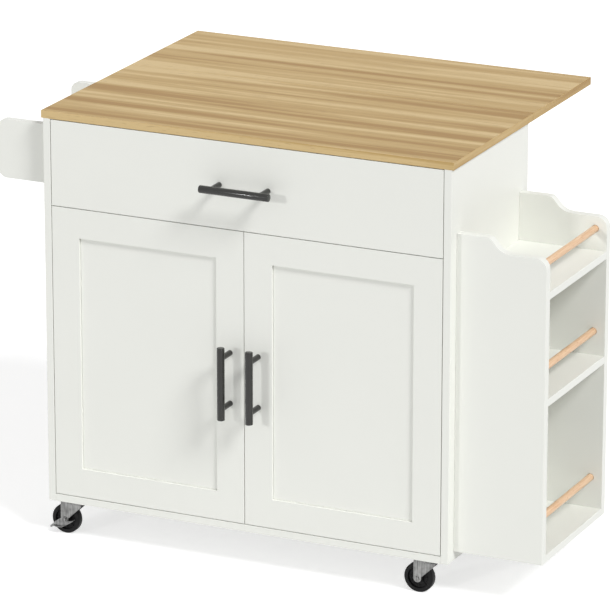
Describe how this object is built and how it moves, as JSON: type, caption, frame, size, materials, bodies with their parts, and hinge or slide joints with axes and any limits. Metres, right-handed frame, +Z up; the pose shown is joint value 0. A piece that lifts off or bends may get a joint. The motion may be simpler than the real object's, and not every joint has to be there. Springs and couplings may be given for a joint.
{
  "type": "drop leaf kitchen island",
  "caption": "Kitchen island on casters with a drawer, paneled doors, an oak look top whose rear leaf folds down, a spice rack and a towel rail.",
  "frame": {"origin": "on the floor, below the middle of the whole object's box with the leaf up", "axes": "+X to the right of someone facing the doors, +Y to the back, towards the leaf, +Z up"},
  "size_m": [1.146, 0.7236, 0.867],
  "materials": {
    "white_paint": "white satin paint on MDF",
    "oak_top": "oak look laminate on board, satin",
    "pale_wood": "clear lacquered pale wood dowel",
    "dark_pull": "dark grey powder coat, satin",
    "zinc_steel": "zinc plated pressed steel",
    "nickel_steel": "nickel plated steel",
    "white_steel": "white epoxy coated steel",
    "black_wheel": "black moulded plastic"
  },
  "bodies": {
    "cabinet": {"left_side_panel": "white_paint", "right_side_panel": "white_paint", "bottom_panel": "white_paint", "back_panel": "white_paint", "drawer_divider": "white_paint", "front_stretcher": "white_paint", "inner_shelf": "white_paint", "main_top": "oak_top", "left_bracket_leg": "zinc_steel", "right_bracket_leg": "zinc_steel", "left_slide_rail": "white_steel", "right_slide_rail": "white_steel", "left_hinge_arm_lower": "nickel_steel", "left_hinge_arm_upper": "nickel_steel", "right_hinge_arm_lower": "nickel_steel", "right_hinge_arm_upper": "nickel_steel", "rack_front_panel": "white_paint", "rack_rear_panel": "white_paint", "rack_bottom_shelf": "white_paint", "rack_middle_shelf": "white_paint", "rack_top_shelf": "white_paint", "rack_bottom_rod": "pale_wood", "rack_middle_rod": "pale_wood", "rack_top_rod": "pale_wood", "towel_bracket_front": "white_paint", "towel_bracket_rear": "white_paint", "towel_rod": "pale_wood", "front_left_caster_plate": "zinc_steel", "front_right_caster_plate": "zinc_steel", "rear_left_caster_plate": "zinc_steel", "rear_right_caster_plate": "zinc_steel"},
    "leaf": {"drop_leaf": "oak_top", "left_bracket_arm": "zinc_steel", "right_bracket_arm": "zinc_steel"},
    "drawer": {"drawer_front": "white_paint", "drawer_left_side": "white_paint", "drawer_right_side": "white_paint", "drawer_bottom": "white_paint", "drawer_back": "white_paint", "drawer_pull": "dark_pull", "left_slide_runner": "white_steel", "right_slide_runner": "white_steel"},
    "left_door": {"left_door": "white_paint", "left_door_pull": "dark_pull"},
    "right_door": {"right_door": "white_paint", "right_door_pull": "dark_pull"},
    "left_lower_link": {"left_bracket_lower_link": "zinc_steel"},
    "left_upper_link": {"left_bracket_upper_link": "zinc_steel"},
    "right_lower_link": {"right_bracket_lower_link": "zinc_steel"},
    "right_upper_link": {"right_bracket_upper_link": "zinc_steel"},
    "front_left_caster": {"front_left_caster_fork": "zinc_steel"},
    "front_left_wheel": {"front_left_wheel": "black_wheel"},
    "front_left_pedal": {"front_left_brake_pedal": "zinc_steel"},
    "front_right_caster": {"front_right_caster_fork": "zinc_steel"},
    "front_right_wheel": {"front_right_wheel": "black_wheel"},
    "rear_left_caster": {"rear_left_caster_fork": "zinc_steel"},
    "rear_left_wheel": {"rear_left_wheel": "black_wheel"},
    "rear_right_caster": {"rear_right_caster_fork": "zinc_steel"},
    "rear_right_wheel": {"rear_right_wheel": "black_wheel"},
    "rear_right_pedal": {"rear_right_brake_pedal": "zinc_steel"}
  },
  "joints": [
    {"name": "leaf_hinge", "type": "hinge", "parent": "cabinet", "child": "leaf", "pos_m": [-0.034, 0.06425, 0.842], "axis": [-1, 0, 0], "range_deg": [0, 90]},
    {"name": "left_lower_link_pivot", "type": "hinge", "parent": "cabinet", "child": "left_lower_link", "pos_m": [-0.314, 0.06425, 0.722], "axis": [1, 0, 0], "range_deg": [0, 56.4]},
    {"name": "left_upper_link_pivot", "type": "hinge", "parent": "leaf", "child": "left_upper_link", "pos_m": [-0.314, 0.24425, 0.842], "axis": [-1, 0, 0], "range_deg": [0, 33.8]},
    {"name": "right_lower_link_pivot", "type": "hinge", "parent": "cabinet", "child": "right_lower_link", "pos_m": [0.246, 0.06425, 0.722], "axis": [1, 0, 0], "range_deg": [0, 56.4]},
    {"name": "right_upper_link_pivot", "type": "hinge", "parent": "leaf", "child": "right_upper_link", "pos_m": [0.246, 0.24425, 0.842], "axis": [-1, 0, 0], "range_deg": [0, 33.8]},
    {"name": "drawer_slide", "type": "slide", "parent": "cabinet", "child": "drawer", "axis": [0, -1, 0], "range_m": [0, 0.225]},
    {"name": "left_door_hinge", "type": "hinge", "parent": "cabinet", "child": "left_door", "pos_m": [-0.4435, -0.31375, 0.3855], "axis": [0, 0, -1], "range_deg": [0, 105]},
    {"name": "right_door_hinge", "type": "hinge", "parent": "cabinet", "child": "right_door", "pos_m": [0.3755, -0.31375, 0.3855], "axis": [0, 0, 1], "range_deg": [0, 105]},
    {"name": "front_left_swivel", "type": "hinge", "parent": "cabinet", "child": "front_left_caster", "pos_m": [-0.413, -0.27775, 0.068], "axis": [0, 0, 1], "continuous": true},
    {"name": "front_left_wheel_spin", "type": "hinge", "parent": "front_left_caster", "child": "front_left_wheel", "pos_m": [-0.439, -0.27775, 0.03], "axis": [0, 1, 0], "continuous": true},
    {"name": "front_left_pedal_pivot", "type": "hinge", "parent": "front_left_caster", "child": "front_left_pedal", "pos_m": [-0.439, -0.27775, 0.03], "axis": [0, 1, 0], "range_deg": [0, 18]},
    {"name": "front_right_swivel", "type": "hinge", "parent": "cabinet", "child": "front_right_caster", "pos_m": [0.345, -0.27775, 0.068], "axis": [0, 0, 1], "continuous": true},
    {"name": "front_right_wheel_spin", "type": "hinge", "parent": "front_right_caster", "child": "front_right_wheel", "pos_m": [0.319, -0.27775, 0.03], "axis": [0, 1, 0], "continuous": true},
    {"name": "rear_left_swivel", "type": "hinge", "parent": "cabinet", "child": "rear_left_caster", "pos_m": [-0.413, 0.01825, 0.068], "axis": [0, 0, 1], "continuous": true},
    {"name": "rear_left_wheel_spin", "type": "hinge", "parent": "rear_left_caster", "child": "rear_left_wheel", "pos_m": [-0.439, 0.01825, 0.03], "axis": [0, 1, 0], "continuous": true},
    {"name": "rear_right_swivel", "type": "hinge", "parent": "cabinet", "child": "rear_right_caster", "pos_m": [0.345, 0.01825, 0.068], "axis": [0, 0, 1], "continuous": true},
    {"name": "rear_right_wheel_spin", "type": "hinge", "parent": "rear_right_caster", "child": "rear_right_wheel", "pos_m": [0.319, 0.01825, 0.03], "axis": [0, 1, 0], "continuous": true},
    {"name": "rear_right_pedal_pivot", "type": "hinge", "parent": "rear_right_caster", "child": "rear_right_pedal", "pos_m": [0.319, 0.01825, 0.03], "axis": [0, 1, 0], "range_deg": [0, 18]}
  ],
  "couplings": [
    {"joint": "left_lower_link_pivot", "follows": "leaf_hinge", "ratio": 0.62567},
    {"joint": "left_upper_link_pivot", "follows": "leaf_hinge", "ratio": 0.37433},
    {"joint": "right_lower_link_pivot", "follows": "leaf_hinge", "ratio": 0.62567},
    {"joint": "right_upper_link_pivot", "follows": "leaf_hinge", "ratio": 0.37433}
  ]
}
